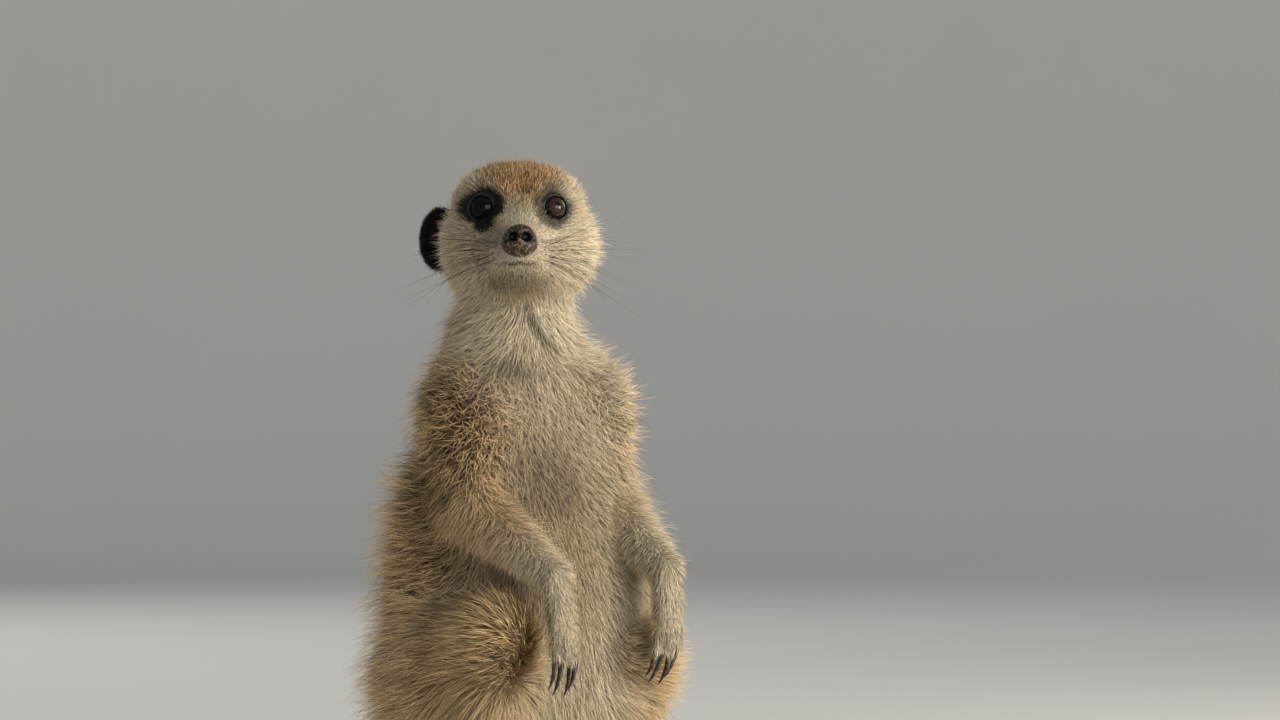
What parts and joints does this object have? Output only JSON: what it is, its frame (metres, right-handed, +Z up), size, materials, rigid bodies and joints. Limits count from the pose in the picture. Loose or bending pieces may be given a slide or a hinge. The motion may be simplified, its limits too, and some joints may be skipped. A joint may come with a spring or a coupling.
{
  "type": "meerkat sitting upright",
  "caption": "Life-size still model of a meerkat sitting up on its haunches, hands hanging, head turned a little to its right.",
  "frame": {"origin": "centre of the bounding box's bottom face, on the floor", "axes": "+Z up; the body faces -Y, the animal's own right side is -X, the tail goes to +Y and curls to +X"},
  "size_m": [0.1818, 0.2126, 0.2498],
  "materials": {
    "crown_coat": "short tan fur, pale face, dark eye patches",
    "belly_coat": "short pale grey-tan fur",
    "back_coat": "long grizzled tan and brown fur with dark cross bands",
    "limb_coat": "short golden tan fur, paler on hands and feet",
    "tail_coat": "short tan fur",
    "tail_dark": "short dark brown fur",
    "ear_black": "very short black fur",
    "nose_skin": "bare moist pebbled skin",
    "eye_brown": "clear glossy eye with a brown iris and black pupil",
    "claw_horn": "dark smooth horn"
  },
  "bodies": {
    "root": {"head": "crown_coat", "neck": "belly_coat", "trunk": "back_coat", "tail_base": "tail_coat", "tail_middle": "tail_coat", "tail_tip": "tail_dark", "nose": "nose_skin", "ear_left": "ear_black", "eye_left": "eye_brown", "upper_arm_left": "limb_coat", "forearm_left": "limb_coat", "hand_left": "limb_coat", "thigh_left": "back_coat", "shank_left": "limb_coat", "foot_left": "limb_coat", "claw_hand_left_1": "claw_horn", "claw_hand_left_2": "claw_horn", "claw_hand_left_3": "claw_horn", "claw_hand_left_4": "claw_horn", "claw_foot_left_1": "claw_horn", "claw_foot_left_2": "claw_horn", "claw_foot_left_3": "claw_horn", "claw_foot_left_4": "claw_horn", "ear_right": "ear_black", "eye_right": "eye_brown", "upper_arm_right": "limb_coat", "forearm_right": "limb_coat", "hand_right": "limb_coat", "thigh_right": "back_coat", "shank_right": "limb_coat", "foot_right": "limb_coat", "claw_hand_right_1": "claw_horn", "claw_hand_right_2": "claw_horn", "claw_hand_right_3": "claw_horn", "claw_hand_right_4": "claw_horn", "claw_foot_right_1": "claw_horn", "claw_foot_right_2": "claw_horn", "claw_foot_right_3": "claw_horn", "claw_foot_right_4": "claw_horn"}
  },
  "joints": []
}
